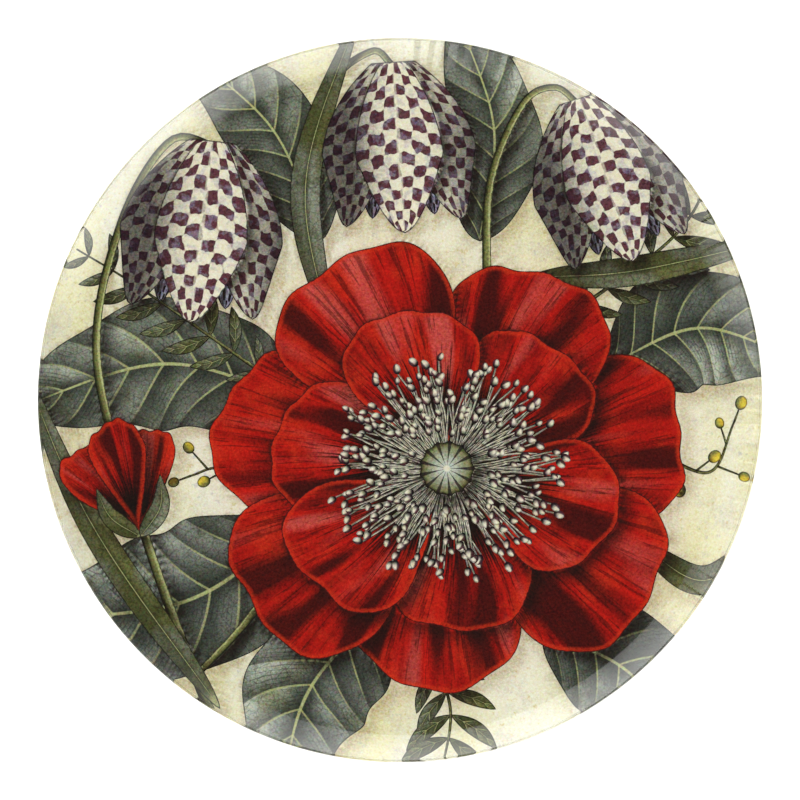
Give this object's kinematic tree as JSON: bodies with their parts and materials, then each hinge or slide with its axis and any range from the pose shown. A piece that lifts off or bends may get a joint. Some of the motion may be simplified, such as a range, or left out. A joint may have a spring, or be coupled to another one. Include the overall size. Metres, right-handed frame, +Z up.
{
  "type": "decoupage glass plate",
  "caption": "Round glass plate with a flat field and a short rim that curves up, a botanical print pasted behind the glass, and a felt foot.",
  "frame": {"origin": "middle of the felt foot's underside, on the surface that the plate lies on", "axes": "+Z up out of the plate's face; +Y towards the top of the printed picture, +X to its right"},
  "size_m": [0.203, 0.203, 0.0103],
  "materials": {
    "clear_glass": "polished",
    "printed_paper": "matt, printed in reds, plum, cream and grey-greens",
    "backing_paper": "sealed, satin",
    "felt": "felt"
  },
  "bodies": {
    "root": {"glass_plate": "clear_glass", "printed_sheet": "printed_paper", "backing_sheet": "backing_paper", "felt_pad": "felt"}
  },
  "joints": []
}
